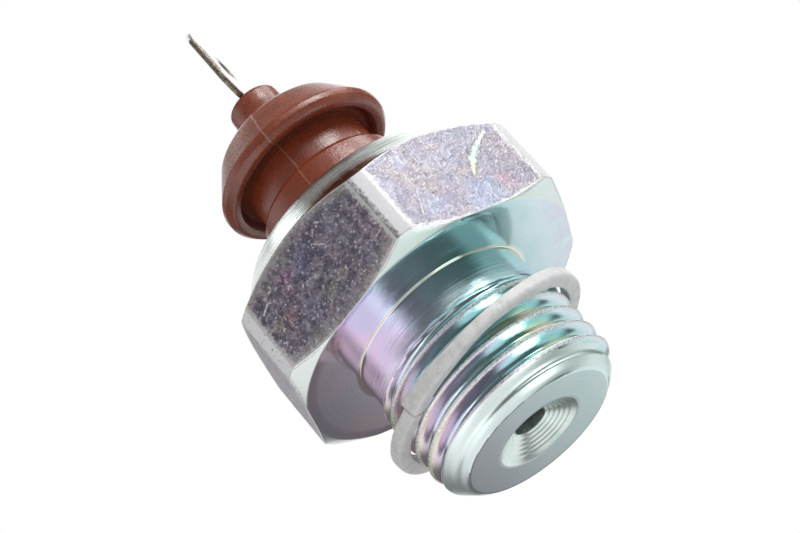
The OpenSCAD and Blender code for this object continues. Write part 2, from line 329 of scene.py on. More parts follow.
def thread_zinc():
    """Rolled thread: teal valleys, pink and pale yellow fringes, and torn crests."""
    n = Nodes("zinc_thread")
    p = n.point()
    r = n.radius(p)
    grain = turned_grain(n, p, 4.0)
    climb, middle_r = 0.42, 7.42
    rise = n.madd(r, climb, -climb * middle_r)
    h = n.math("FRACT", n.math("ADD", 1.0, n.math("ADD", rise, film_hue(n, p, grain, 0.6))))
    colour = n.ramp(h, FILM)
    torn = n.centred(n.noise(p, 3.2, 5.0, 0.7))
    crest = n.range(n.madd(torn, 0.20, r), CREST_R - 0.24, CREST_R - 0.06)
    worn = n.times(crest, n.range(n.noise(p, 5.0, 5.0, 0.65), 0.34, 0.56))
    colour = n.tint(colour, worn, 0.80, (0.96, 0.98, 0.94))
    rough = n.madd(n.noise(p, 1.4, 4.0, 0.6), 0.10, 0.09)
    rough = n.madd(worn, 0.26, rough)
    lines = n.bump(grain, 0.012, 0.9)
    pits = n.bump(n.times(crest, n.noise(p, 6.0, 4.0, 0.7)), 0.03, 1.0, lines)
    metallic = n.madd(worn, -0.45, 1.0)
    return n.shade(Base_Color=colour, Metallic=metallic, Roughness=rough, Anisotropic=0.3,
                   Tangent=n.tangent(), Normal=pits)


def end_zinc():
    """End of the thread and its countersink: pale, with turned rings."""
    n = Nodes("zinc_end")
    p = n.point()
    r = n.radius(p)
    grain = turned_grain(n, p, 6.0)
    colour = n.mix(0.60, n.ramp(film_hue(n, p, grain, 0.35), FILM), (0.85, 0.99, 1.0))
    sink = n.range(r, SINK_R + 0.1, SINK_R - 0.1)
    sink_colour = n.ramp(n.noise(p, 0.9, 4.0, 0.6), [
        (0.35, (0.68, 0.86, 0.74)), (0.55, (0.86, 0.92, 0.84)), (0.70, (0.86, 0.84, 0.84)),
    ])
    colour = n.tint(colour, sink, 0.6, sink_colour)
    bevel = n.range(r, END_R - 0.05, END_R + 0.05)
    colour = n.tint(colour, bevel, 0.5, (0.78, 0.90, 0.84))
    rough = n.madd(n.noise(p, 1.2, 4.0, 0.6), 0.10, 0.13)
    rough = n.madd(bevel, 0.16, rough)
    rough = n.madd(sink, 0.08, rough)
    return n.shade(Base_Color=colour, Metallic=1.0, Roughness=rough, Anisotropic=0.2,
                   Tangent=n.tangent(), Normal=n.bump(grain, 0.005, 0.8))


def cone_zinc():
    """Back cone and rolled rim: coarse turned lines, grey with bright streaks."""
    n = Nodes("zinc_cone")
    p = n.point()
    x, y, z = n.split(p)
    r = n.radius(p)
    turn = n.math("ARCTAN2", y, x)

    def streaks(across, along, detail, rough):
        stretched = n.join(n.times(r, across), n.times(z, across), n.times(turn, along))
        return n.noise(stretched, 1.0, detail, rough)

    lines = streaks(6.5, 2.2, 4.0, 0.7)
    fine = streaks(18.0, 5.0, 3.0, 0.6)
    colour = n.ramp(n.madd(n.centred(fine), 0.5, lines), [
        (0.36, (0.24, 0.27, 0.29)),
        (0.47, (0.56, 0.62, 0.62)),
        (0.56, (0.80, 0.84, 0.82)),
        (0.68, (0.96, 0.97, 0.94)),
    ])
    hue = n.ramp(n.noise(p, 0.30, 3.0, 0.6), [
        (0.35, (0.78, 0.84, 0.92)), (0.5, (0.96, 0.98, 0.90)), (0.65, (0.84, 0.94, 0.84)),
    ])
    colour = n.mix(0.6, colour, hue, "MULTIPLY")
    rough = n.madd(fine, 0.10, 0.05)
    return n.shade(Base_Color=colour, Metallic=1.0, Roughness=rough, Anisotropic=0.3,
                   Tangent=n.tangent(), Normal=n.bump(lines, 0.009, 0.9))


def oil_hole():
    """Bore of the oil hole: dark and dull, its dark colour a painted shade inside the hole."""
    n = Nodes("zinc_hole")
    m = n.noise(n.point(), 1.5, 4.0, 0.6)
    colour = n.ramp(m, [(0.3, (0.09, 0.11, 0.10)), (0.7, (0.24, 0.28, 0.26))])
    return n.shade(Base_Color=colour, Metallic=0.6, Roughness=n.madd(m, 0.2, 0.35),
                   Normal=n.bump(m, 0.03, 0.6))


def scratch(n, p, a, b, width, seed):
    """Mask of a ragged straight scratch from a to b, in mm."""
    a, b = Vector(a), Vector(b)
    d = b - a
    rel = n.vector("SUBTRACT", p, tuple(a))
    t = n.math("MULTIPLY", n.vector("DOT_PRODUCT", rel, tuple(d)), 1 / d.length_squared, clamp=True)
    gap = n.vector("DISTANCE", rel, n.vector("SCALE", tuple(d), scale=t))
    ragged = n.noise(n.vector("ADD", p, (seed, 0.0, 0.0)), 5.0, 4.0, 0.7)
    ragged = n.madd(ragged, width * 2.2, -width * 0.5)
    return n.range(n.math("SUBTRACT", ragged, gap), 0.0, width * 0.35)


def blot(n, p, at, size, ragged=0.5):
    """Mask of a soft ragged cloud round a point, sizes in mm."""
    d = n.vector("DISTANCE", p, at)
    d = n.madd(n.centred(n.noise(p, 1.1, 5.0, 0.7)), size * ragged * 3, d)
    return n.range(d, size, size * 0.25)


# soft stains on the flats, read from the photograph: place, size, colour and share
FLAT_TINTS = (
    ((10.22, -6.29, 17.35), 1.7, (0.20, 0.24, 0.42), 0.60),
    ((9.36, -7.79, 17.45), 0.9, (0.50, 0.16, 0.34), 0.60),
    ((9.07, -8.28, 16.50), 1.0, (0.42, 0.20, 0.36), 0.45),
    ((8.54, -9.21, 15.16), 1.1, (0.55, 0.28, 0.26), 0.45),
    ((10.40, -5.99, 14.15), 1.5, (0.30, 0.36, 0.28), 0.60),
    ((9.42, -7.69, 13.99), 1.4, (0.24, 0.28, 0.46), 0.50),
    ((7.99, -10.16, 15.29), 1.2, (0.50, 0.44, 0.36), 0.60),
    ((8.99, -8.43, 12.60), 1.0, (0.52, 0.50, 0.44), 0.50),
    ((9.64, -7.31, 18.64), 1.3, (0.46, 0.45, 0.42), 0.60),
    ((8.54, -9.20, 18.18), 1.0, (0.46, 0.44, 0.38), 0.60),
    ((12.88, -1.70, 18.32), 1.2, (0.44, 0.46, 0.44), 0.55),
    ((10.24, -6.27, 15.65), 0.28, (0.66, 0.76, 0.72), 0.90),
    ((9.91, 6.83, 12.90), 2.2, (0.42, 0.48, 0.62), 0.65),
    ((13.38, 0.83, 16.42), 1.6, (0.52, 0.50, 0.60), 0.60),
    ((11.96, 3.28, 17.99), 1.2, (0.50, 0.52, 0.62), 0.60),
    ((12.10, 3.10, 13.40), 1.4, (0.46, 0.49, 0.60), 0.60),
    ((8.73, 8.88, 13.37), 1.1, (0.52, 0.34, 0.40), 0.55),
    ((11.31, 4.41, 16.57), 1.8, (0.44, 0.40, 0.41), 0.60),
    ((7.70, 10.65, 12.82), 0.9, (0.34, 0.30, 0.34), 0.70),
    ((7.78, 10.53, 14.64), 2.6, (0.34, 0.32, 0.36), 0.60),
    ((8.72, 8.90, 18.40), 1.6, (0.38, 0.39, 0.44), 0.50),
)

# scratches and nicks on the flats, read from the photograph: two ends, width and colour
FLAT_CUTS = (
    ((7.88, 10.35, 18.07), (8.81, 8.75, 16.84), 0.45, (0.86, 0.90, 0.88)),
    ((8.81, 8.75, 16.84), (9.27, 7.94, 15.92), 0.80, (0.72, 0.83, 0.78)),
    ((9.27, 7.94, 15.92), (9.66, 7.27, 14.83), 0.50, (0.84, 0.86, 0.70)),
    ((8.20, 9.80, 18.30), (8.60, 9.10, 17.10), 0.08, (0.86, 0.88, 0.88)),
    ((12.16, 2.95, 16.65), (12.15, 2.96, 15.36), 0.09, (0.90, 0.92, 0.92)),
    ((12.15, 2.96, 15.36), (12.67, 2.05, 13.06), 0.14, (0.90, 0.92, 0.92)),
    ((11.43, 4.21, 15.80), (10.82, 5.26, 15.93), 0.07, (0.88, 0.88, 0.88)),
    ((11.10, 4.80, 16.70), (10.40, 6.00, 15.20), 0.06, (0.88, 0.88, 0.88)),
    ((7.38, 11.22, 16.19), (7.60, 10.84, 14.49), 0.07, (0.90, 0.90, 0.92)),
    ((8.00, 10.10, 15.60), (7.90, 10.30, 14.10), 0.06, (0.90, 0.90, 0.92)),
    ((7.75, -10.57, 16.94), (8.17, -9.84, 17.29), 0.16, (0.94, 0.94, 0.94)),
    ((11.03, -4.90, 17.26), (11.26, -4.50, 16.75), 0.10, (0.86, 0.86, 0.86)),
    ((12.96, -1.55, 13.81), (13.27, -1.02, 13.85), 0.10, (0.86, 0.90, 0.90)),
)


def rolled_zinc():
    """The hexagon's flats: drawn bar, pitted and mottled under the zinc, with burred edges."""
    n = Nodes("zinc_flats")
    p = n.point()
    _, y, z = n.split(p)
    r = n.radius(p)
    coarse = n.noise(p, 0.55, 4.0, 0.6, 0.5)
    mottle = n.noise(p, 2.6, 4.0, 0.75)
    grit = n.noise(p, 4.2, 3.0, 0.7)
    hue = n.madd(n.centred(grit), 0.6, coarse)
    colour = n.ramp(hue, [
        (0.25, (0.42, 0.43, 0.47)),
        (0.40, (0.40, 0.37, 0.47)),
        (0.50, (0.42, 0.35, 0.45)),
        (0.62, (0.46, 0.38, 0.44)),
        (0.78, (0.50, 0.47, 0.43)),
    ])
    # the flats on the bright side, which face the lamps, take their own copy of the colour, painted
    # slightly darker to offset the light
    bright_side = n.range(y, -0.3, 0.5)
    colour = n.mix(bright_side, colour, n.ramp(hue, [
        (0.25, (0.37, 0.40, 0.45)),
        (0.42, (0.38, 0.38, 0.46)),
        (0.56, (0.41, 0.37, 0.41)),
        (0.75, (0.42, 0.39, 0.37)),
    ]))
    for at, size, tint, share in FLAT_TINTS:
        colour = n.tint(colour, blot(n, p, at, size), share, tint)
    # dark mottling and light specks, both weaker on the bright side that faces the lamps; on the
    # other flats the dark mottling is partly painted shade and the light specks are partly painted
    # glints
    cloud = n.range(n.noise(p, 1.1, 3.0, 0.6), 0.56, 0.40)
    colour = n.tint(colour, cloud, n.madd(bright_side, -0.40, 0.65), (0.13, 0.11, 0.17))
    dark = n.range(mottle, 0.54, 0.40)
    colour = n.tint(colour, dark, n.madd(bright_side, -0.30, 0.62), (0.14, 0.12, 0.16))
    speck = n.times(n.range(grit, 0.54, 0.64), n.range(mottle, 0.44, 0.56))
    speck = n.times(speck, n.madd(bright_side, -0.45, 1.0))
    colour = n.tint(colour, speck, 0.90, (0.88, 0.89, 0.92))
    # heights over the chamfer's edge and under the cone's edge, for the wear and the burrs there
    ragged = n.centred(n.noise(p, 3.2, 5.0, 0.72))
    low = n.math("SUBTRACT", n.madd(r, -CHAMFER_RISE, z), SHOULDER - CHAMFER_RISE * FACE_R)
    cone_top = SHOULDER + CONE_FOOT[1] + CONE_RISE * CONE_FOOT[0]
    high = n.math("SUBTRACT", cone_top, n.madd(r, CONE_RISE, z))
    dark_side = n.math("SUBTRACT", 1.0, bright_side)
    worn = n.times(n.range(n.madd(ragged, 2.2, low), 1.5, 0.2), dark_side)
    colour = n.tint(colour, worn, 0.40, (0.72, 0.68, 0.66))
    warm = n.times(n.range(n.madd(ragged, 1.2, high), 0.9, 0.2), dark_side)
    colour = n.tint(colour, warm, 0.55, (0.62, 0.59, 0.55))
    burr = n.range(n.madd(ragged, 0.9, low), 0.34, 0.10)
    burr = n.math("MAXIMUM", burr, n.times(n.range(n.madd(ragged, 0.5, high), 0.18, 0.05), 0.8))
    burr = n.math("MAXIMUM", burr, n.range(n.madd(ragged, 0.5, r), 13.28, 13.44))
    colour = n.tint(colour, burr, 0.85, (0.86, 0.86, 0.84))
    metallic = n.madd(n.math("MAXIMUM", n.times(speck, 0.7), n.times(burr, 0.6)), -0.85, 1.0)
    cuts = None
    for i, (a, b, width, tint) in enumerate(FLAT_CUTS):
        cut = scratch(n, p, a, b, width, 3.7 * i)
        colour = n.tint(colour, cut, 0.85, tint)
        cuts = cut if cuts is None else n.math("MAXIMUM", cuts, cut)
    metallic = n.madd(cuts, -0.45, metallic, clamp=True)
    rough = n.madd(mottle, 0.22, 0.20)
    pits = n.bump(grit, n.madd(bright_side, -0.00002, 0.00007))
    dents = n.bump(n.madd(cuts, 0.22, mottle), n.madd(bright_side, -0.00006, 0.00016), 1.0, pits)
    return n.shade(Base_Color=colour, Metallic=metallic, Roughness=rough, Normal=dents)


def bright_zinc():
    """Turned corners: painted light, white where they face up and on parts of the low corner;
    mottled grey, partly painted shade, where they face down.
    """
    n = Nodes("zinc_corners")
    p = n.point()
    _, y, _ = n.split(p)
    m = n.noise(p, 3.4, 4.0, 0.7)
    # painted light: white where the corners face the lamps and on parts of the low corner, mottled
    # grey elsewhere
    painted_light = n.range(n.madd(m, 0.4, y), -0.22, 0.02)
    painted_light = n.math("MAXIMUM", painted_light, n.times(n.range(y, -3.0, -6.0), n.range(m, 0.30, 0.42)))
    grey = n.ramp(m, [
        (0.36, (0.20, 0.19, 0.22)), (0.50, (0.42, 0.41, 0.43)), (0.64, (0.70, 0.70, 0.72)),
    ])
    white = n.ramp(m, [(0.30, (0.88, 0.88, 0.92)), (0.60, (0.97, 0.97, 0.98))])
    colour = n.mix(painted_light, grey, white)
    dents = n.bump(n.noise(p, 5.0, 4.0, 0.7), 0.04, 0.7)
    rough = n.madd(m, 0.20, 0.24)
    metallic = n.madd(painted_light, -0.40, 0.50)
    return n.shade(Base_Color=colour, Metallic=metallic, Roughness=rough, Normal=dents)


# places on the insulator in the CAD frame: a pale fleck, the tops of the parting line and of the
# stem, and the groove under the flange, which gets painted shade
FLECK = (3.30, 4.20, 26.90)
SEAM_TOP = 34.2
STEM_TOP = SHOULDER + 17.2
GROOVE_LOW = SHOULDER + 17.0
GROOVE_HIGH = SHOULDER + 18.4


def moulded():
    """Red-brown filled thermoset: satin skin with a fine flow grain."""
    n = Nodes("moulded_red_brown")
    p = n.point()
    _, _, z = n.split(p)
    colour = n.ramp(n.noise(p, 0.35, 4.0, 0.6, 0.5), [
        (0.30, (0.215, 0.042, 0.018)), (0.50, (0.280, 0.057, 0.024)), (0.72, (0.345, 0.078, 0.036)),
    ])
    fine = n.noise(p, 3.6, 5.0, 0.72)
    colour = n.tint(colour, n.range(fine, 0.50, 0.34), 0.45, (0.085, 0.018, 0.010))
    dust = n.range(n.noise(p, 4.2, 5.0, 0.7), 0.60, 0.72)
    colour = n.tint(colour, dust, 0.30, (0.46, 0.27, 0.22))
    # parting line, which wanders a little and fades in places
    side = n.vector("DOT_PRODUCT", p, (math.sin(-BLADE_TURN), math.cos(BLADE_TURN), 0.0))
    wander = n.madd(n.noise(n.join(0.0, 0.0, z), 1.2, 2.0), 0.16, -0.08)
    line = n.range(n.math("ABSOLUTE", n.math("ADD", side, wander)), 0.038, 0.012)
    line = n.times(line, n.range(n.noise(p, 1.6, 4.0, 0.7), 0.20, 0.45))
    line = n.times(line, n.range(z, SEAM_TOP, SEAM_TOP - 0.4))
    colour = n.tint(colour, line, 0.70, (0.60, 0.40, 0.28))
    colour = n.mix(blot(n, p, FLECK, 0.30), colour, (0.62, 0.54, 0.40))
    stem = n.range(z, STEM_TOP, STEM_TOP - 0.3)
    colour = n.tint(colour, stem, 0.35, (0.30, 0.052, 0.022))
    # painted shade in the groove under the flange: darker colour, rougher and with less gloss
    groove_shade = n.times(n.range(z, GROOVE_LOW, GROOVE_LOW + 0.35), n.range(n.radius(p), 6.8, 5.9))
    groove_shade = n.times(groove_shade, n.range(z, GROOVE_HIGH, GROOVE_HIGH - 0.3))
    colour = n.tint(colour, groove_shade, 0.5, (0.10, 0.020, 0.010))
    rough = n.madd(stem, -0.02, 0.15)
    rough = n.madd(fine, 0.24, rough)
    rough = n.madd(groove_shade, 0.35, rough)
    gloss = n.madd(groove_shade, -0.70, 0.85)
    ripple = n.bump(n.noise(p, 1.1, 3.0, 0.5), 0.035, 0.6)
    grain = n.bump(n.noise(p, 4.4, 4.0, 0.65), 0.024, 0.9, ripple)
    return n.shade(Base_Color=colour, Roughness=rough, Specular_IOR_Level=gloss, Normal=grain)


def soft_aluminium():
    """Sealing ring: dull, dented aluminium."""
    n = Nodes("aluminium_ring")
    p = n.point()
    colour = n.ramp(n.noise(p, 1.1, 5.0, 0.65), [
        (0.30, (0.72, 0.72, 0.71)), (0.52, (0.88, 0.88, 0.87)), (0.75, (0.93, 0.93, 0.92)),
    ])
    rough = n.madd(n.noise(p, 3.5, 5.0, 0.65), 0.22, 0.46)
    dents = n.bump(n.noise(p, 2.6, 6.0, 0.7), 0.09, 0.8)
    return n.shade(Base_Color=colour, Metallic=0.15, Roughness=rough, Normal=dents)


def tin():
    """Tinned faces of the blade, with streaks along it."""
    n = Nodes("tinned_face")
    streak = n.noise(n.vector("MULTIPLY", n.point(), (6.0, 6.0, 1.0)), 1.0, 5.0, 0.6)
    colour = n.ramp(streak, [(0.3, (0.80, 0.78, 0.74)), (0.7, (0.90, 0.89, 0.87))])
    return n.shade(Base_Color=colour, Metallic=1.0, Roughness=n.madd(streak, 0.18, 0.22),
                   Normal=n.bump(streak, 0.01, 0.5))


def sheared():
    """Cut edge of the blade: torn brass with little plating, paler near the tip."""
    n = Nodes("sheared_edge")
    p = n.point()
    m = n.noise(p, 3.5, 6.0, 0.75)
    colour = n.ramp(m, [
        (0.35, (0.20, 0.17, 0.13)), (0.55, (0.40, 0.35, 0.29)), (0.72, (0.66, 0.62, 0.56)),
    ])
    tip = n.range(n.split(p)[2], 42.0, 43.4)
    colour = n.tint(colour, tip, 0.7, (0.72, 0.66, 0.64))
    return n.shade(Base_Color=colour, Metallic=1.0, Roughness=n.madd(m, 0.3, 0.3),
                   Normal=n.bump(m, 0.05, 0.9))


def simple(name, dark, light, rough, scale=2.0, depth=0.02, metallic=0.0, turned=False):
    """A look of one grain between two colours, for the pieces inside."""
    n = Nodes(name)
    p = n.point()
    m = turned_grain(n, p, scale) if turned else n.noise(p, scale, 5.0, 0.65)
    colour = n.ramp(m, [(0.3, dark), (0.7, light)])
    return n.shade(Base_Color=colour, Metallic=metallic, Roughness=n.madd(m, 0.16, rough),
                   Normal=n.bump(m, depth, 0.6))


# mesh building, where points nearer than MERGE are joined and edges under SLIVER go, in metres
MERGE = 4e-7
SLIVER = 1e-8


def grid_faces(n, m, wrap):
    """Faces of a grid of n rows of m points, closed from last to first row when wrap is true."""
    i, j = np.meshgrid(np.arange(n if wrap else n - 1), np.arange(m - 1), indexing="ij")
    k = (i + 1) % n
    return np.stack([i * m + j, k * m + j, k * m + j + 1, i * m + j + 1], -1).reshape(-1, 4)


def solid(name, grids, materials, body, node, pick=None, smooth=32):
    """One closed piece from grids of points in mm, each (points n x m x 3, wrap).

    pick gives a face's material number, and edges sharper than smooth degrees stay sharp.
    """
    points, faces, start = [], [], 0
    for g, wrap in grids:
        g = np.asarray(g, float)
        faces.append(grid_faces(*g.shape[:2], wrap) + start)
        points.append(g.reshape(-1, 3))
        start += g.shape[0] * g.shape[1]
    mesh = bpy.data.meshes.new(name)
    mesh.from_pydata((np.concatenate(points) * MM).tolist(), [], np.concatenate(faces).tolist())
    bm = bmesh.new()
    bm.from_mesh(mesh)
    bmesh.ops.remove_doubles(bm, verts=bm.verts, dist=MERGE)
    bmesh.ops.dissolve_degenerate(bm, edges=bm.edges, dist=SLIVER)
    bmesh.ops.recalc_face_normals(bm, faces=bm.faces)
    if pick is not None:
        for f in bm.faces:
            f.material_index = pick(f)
    bm.to_mesh(mesh)
    bm.free()
    mesh.shade_smooth()
    mesh.set_sharp_from_angle(angle=math.radians(smooth))
    for m in materials:
        mesh.materials.append(m)
    o = add_object(name, mesh)
    w = o.modifiers.new("normals", "WEIGHTED_NORMAL")
    w.keep_sharp = True
    w.weight = 100
    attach(o, body)
    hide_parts(node)
    return o


def rounded(points, steps):
    """Points of an open outline with rounded corners. Each point is (r, z) or (r, z, radius)."""
    out = [np.array(points[0][:2], float)]
    for k in range(1, len(points) - 1):
        p = np.array(points[k][:2], float)
        radius = points[k][2] if len(points[k]) > 2 else 0
        a = np.array(points[k - 1][:2], float) - p
        b = np.array(points[k + 1][:2], float) - p
        la, lb = np.linalg.norm(a), np.linalg.norm(b)
        if radius <= 0 or la < 1e-6 or lb < 1e-6:
            out.append(p)
            continue
        a, b = a / la, b / lb
        turn = math.acos(max(-1, min(1, float(a @ b))))
        reach = min(radius / math.tan(turn / 2), 0.48 * la, 0.48 * lb)
        start, end = p + a * reach, p + b * reach
        for s in range(steps + 1):
            t = s / steps
            out.append((1 - t) ** 2 * start + 2 * t * (1 - t) * p + t * t * end)
    out.append(np.array(points[-1][:2], float))
    return out


def lathe(outline, angles):
    """Grid of an outline turned round the axis."""
    c, s = np.cos(angles)[:, None], np.sin(angles)[:, None]
    r, z = outline[None, :, 0], outline[None, :, 1]
    return np.stack([r * c, r * s, np.broadcast_to(z, (len(angles), len(outline)))], -1)


def smooth_min(a, b, k):
    """The smaller of two values, with the change between them rounded over k."""
    return np.minimum(a, b) - np.maximum(k - np.abs(a - b), 0) ** 2 / (4 * k)


def smooth_max(a, b, k):
    """The larger of two values, with the change between them rounded over k."""
    return np.maximum(a, b) + np.maximum(k - np.abs(a - b), 0) ** 2 / (4 * k)


# columns of half a sector in degrees from the corner, close together where the flat begins
SECTOR_STEPS = [
    0, 0.9, 1.8, 2.35, 2.73, 3.1, 3.6, 4.4, 5.6, 7, 8.6, 10.4, 12.2, 14, 16, 18, 20, 22, 24, 26, 28,
]


def body_angles():
    """Columns round the body."""
    out = []
    for k in range(6):
        out += [SECTOR * k + a for a in SECTOR_STEPS] + [SECTOR * k + HALF_SECTOR]
        out += [SECTOR * k + SECTOR - a for a in SECTOR_STEPS[:0:-1]]
    return np.radians(out)


def from_corner(degrees):
    """Degrees from the nearest corner of the hexagon."""
    return abs((degrees + HALF_SECTOR) % SECTOR - HALF_SECTOR)


def body_outline(angle):
    """Outline at one angle, from the neck over the hexagon and down the cavity."""
    flat = FLAT_R / math.cos(math.radians(HALF_SECTOR - from_corner(math.degrees(angle))))
    rh = float(smooth_min(flat, CORNER_R, 0.03))
    foot_r, foot_z = CONE_FOOT
    z2 = foot_z - (rh - foot_r) * CONE_RISE
    out = [(NECK_R, -THREAD_STOP), (NECK_R, -0.9)]
    out += rounded([(NECK_R, -0.5), (NECK_R, 0, 0.22), (NECK_R + 0.5, 0)], 5)
    out += [(8.6, 0), (10.0, 0), (11.2, 0)]
    # chamfer, which is missing at the middle of a flat, where its points fall together
    if rh > FACE_R + 0.02:
        z1 = (rh - FACE_R) * CHAMFER_RISE
        out += rounded([(11.5, 0), (FACE_R, 0, 0.5), (rh, z1, 0.05), (rh, z1 + 1)], 3)[1:-1]
    else:
        edge = rounded([(11.5, 0), (rh, 0, 0.05), (rh, 1)], 3)[1:-1]
        out += [edge[0]] * 4 + edge
    # flat, cone with its steeper foot, and rolled rim
    out += [(rh, 1.6), (rh, 4.0), (rh, 6.0)]
    out += rounded([(rh, z2 - 1), (rh, z2, 0.06), (rh - 0.4, z2 + 0.4 * CONE_RISE)], 3)[1:-1]
    out += [(foot_r + 0.02 * (rh - 12), foot_z - 0.02 * (rh - 12)), (10.9, 9.24), (10.3, 9.98)]
    out += rounded([(10.2, 10.10), (9.84, 10.53, 0.35), (9.25, BODY_TOP, 0.5), (8.4, BODY_TOP)], 4)
    out += [(7.9, BODY_TOP - 0.01)]
    # lip, cavity, seal groove and chamber, down to the oil hole
    out += rounded([
        (7.7, BODY_TOP - 0.02), (LIP_R, BODY_TOP - 0.05, 0.15), (LIP_R, LIP_UNDER),
        (CAVITY_R, LIP_UNDER), (CAVITY_R, CAVITY_FLOOR),
        (SEAL_GROOVE_OUT, CAVITY_FLOOR), (SEAL_GROOVE_OUT, SEAL_GROOVE_FLOOR),
        (SEAL_GROOVE_IN, SEAL_GROOVE_FLOOR), (SEAL_GROOVE_IN, CAVITY_FLOOR),
        (CHAMBER_R, CAVITY_FLOOR), (CHAMBER_R, CHAMBER_FLOOR), (OIL_R, CHAMBER_FLOOR),
    ], 3)
    return np.array(out)


def crest_height(angle):
    """Height of the thread's crest at an angle in radians, counted on over full turns."""
    return FIRST_CREST + PITCH * angle / (2 * math.pi)


def thread_radius(angle, z):
    """Radius of the helical thread, with its run-out at the neck and the bevel at its end."""
    run_out, fade_end, fade_length = 8.3, 8.7, 0.9
    crest_round, root_round, bevel_round = 0.24, 0.34, 0.24
    d = np.abs((z - crest_height(angle) + PITCH / 2) % PITCH - PITCH / 2)
    flank = CREST_R - (d - PITCH / 16) * math.sqrt(3)
    r = smooth_max(smooth_min(flank, CREST_R, crest_round), ROOT_R, root_round)
    plain_r = np.clip(CREST_R - (z - run_out) / math.tan(math.radians(30)), NECK_R, CREST_R)
    fade = np.clip((fade_end - z) / fade_length, 0, 1)
    r = np.minimum(plain_r, plain_r + (r - plain_r) * fade)
    return smooth_min(r, END_R + z, bevel_round) - 0.18 * np.maximum(0, 1 - z / 0.36) ** 2


# rows of one turn of the thread, over its crest, close together on crest and root
THREAD_ROWS = np.array([
    -0.14, -0.10, -0.06, 0, 0.06, 0.10, 0.14, 0.20, 0.28, 0.36, 0.44, 0.50, 0.56,
    0.62, 0.68, 0.75, 0.82, 0.88, 0.94, 1.00, 1.06, 1.14, 1.22, 1.30, 1.36,
])


def thread_grid(angles):
    """Grid that follows the helix, cut off at the thread's end and at the neck."""
    top = SHOULDER - THREAD_STOP
    t = np.concatenate([angles + 2 * math.pi * turn for turn in range(-3, 7)])
    zz = crest_height(t[:, None]) + THREAD_ROWS[None, :]
    keep = (zz.max(1) > -0.1) & (zz.min(1) < top + 0.1)
    t, zz = t[keep], np.clip(zz[keep], 0, top)
    r = thread_radius(t[:, None], zz)
    return np.stack([r * np.cos(t[:, None]), r * np.sin(t[:, None]), zz], -1)


def sink_outline():
    """End face, countersink with its turned rings, and the oil hole, from outside in."""
    out = [(END_R - 0.18, 0), (END_R - 0.32, 0), (5.6, 0), (4.8, 0), (4.1, 0)]
    out += rounded([(3.75, 0), (SINK_R, 0, 0.08), (SINK_R - 0.3, 0.16)], 3)
    ring_height, ring_pitch = 0.012, 0.33
    for r in np.arange(3.04, OIL_R + 0.08, -0.055):
        ripple = ring_height * math.sin(2 * math.pi * (SINK_R - r) / ring_pitch)
        out.append((r, (SINK_R - r) * SINK_SLOPE + ripple))
    depth = (SINK_R - OIL_R) * SINK_SLOPE
    out += [(OIL_R + 0.03, depth - 0.02), (OIL_R, depth + 0.03), (OIL_R, depth + 2), (OIL_R, 7)]
    out.append((OIL_R, SHOULDER + CHAMBER_FLOOR))
    return np.array(out)


def make_body():
    """Steel body, in three grids: from neck to cavity, the end with its hole, and the thread."""
    angles = body_angles()
    upper = []
    for a in angles:
        r, z = body_outline(a).T
        upper.append(np.stack([r * math.cos(a), r * math.sin(a), z + SHOULDER], -1))
    end_grid = lathe(sink_outline(), angles)
    grids = [(np.stack(upper), True), (end_grid, True), (thread_grid(angles), False)]
    looks = [
        face_zinc(), rolled_zinc(), bright_zinc(), end_zinc(), cone_zinc(), oil_hole(),
        thread_zinc(),
    ]
    face, flats, corners, end, cone, hole, thread = range(len(looks))

    def pick(f):
        c = f.calc_center_median() / MM
        r = math.hypot(c.x, c.y)
        if abs(f.normal.z) < 0.1 and r > 11.9:
            turned = from_corner(math.degrees(math.atan2(c.y, c.x))) < TURNED_CORNER
            return corners if turned else flats
        if r < OIL_R + 0.06:
            return hole
        if c.z > SHOULDER + 5:
            return cone
        if c.z < 0.02 or (c.z < 1.4 and c.z < r - END_R + 0.5) or (r < SINK_R + 0.05 and c.z < 2):
            return end
        return thread if c.z < SHOULDER - 3.3 else face

    return solid("body_shell", grids, looks, "switch_body", "housing", pick)


# outlines of the insulator, heights over the shoulder
INSULATOR = [
    (6.3, 6.3), (8.7, 6.3, 0.1), (8.7, 7.05), (7.6, 7.05), (7.6, 8.25), (8.7, 8.25),
    (8.7, 8.9, 0.1), (6.65, 8.9, 0.1), (6.52, 11.1, 3.0), (6.05, 14.25, 0.25), (5.72, 14.62, 0.15),
    (5.32, 14.80, 0.12), (5.30, 17.30, 0.3), (5.50, 17.78, 0.3), (5.98, 17.74, 0.3),
    (6.42, 17.00, 0.35), (7.04, 16.93, 0.4), (7.48, 17.46, 0.5), (7.50, 18.02, 0.5),
    (6.90, 18.94, 1.4), (6.22, 19.99, 1.6), (5.72, 20.74, 0.8), (4.50, 21.62, 1.0),
    (3.52, 22.16, 0.8), (2.72, 22.42, 0.45), (2.34, 22.70, 0.3), (2.22, 23.60, 0.5),
    (2.16, 24.99, 0.42), (0.9, 25.0), (0.0, 25.0),
]
INSULATOR_INSIDE = [
    (0.0, 18.9), (3.0, 19.0), (3.0, 14.0), (2.75, 14.0), (2.75, 8.15), (6.3, 8.15), (6.3, 6.3),
]

# degrees from the parting line where columns stand close together, and the line's own size
SEAM_STEPS = [-6, -4, -2.6, -1.6, -1.0, -0.6, -0.3, 0, 0.3, 0.6, 1.0, 1.6, 2.6, 4, 6]
SEAM_HEIGHT = 0.035
SEAM_WIDTH = 0.07


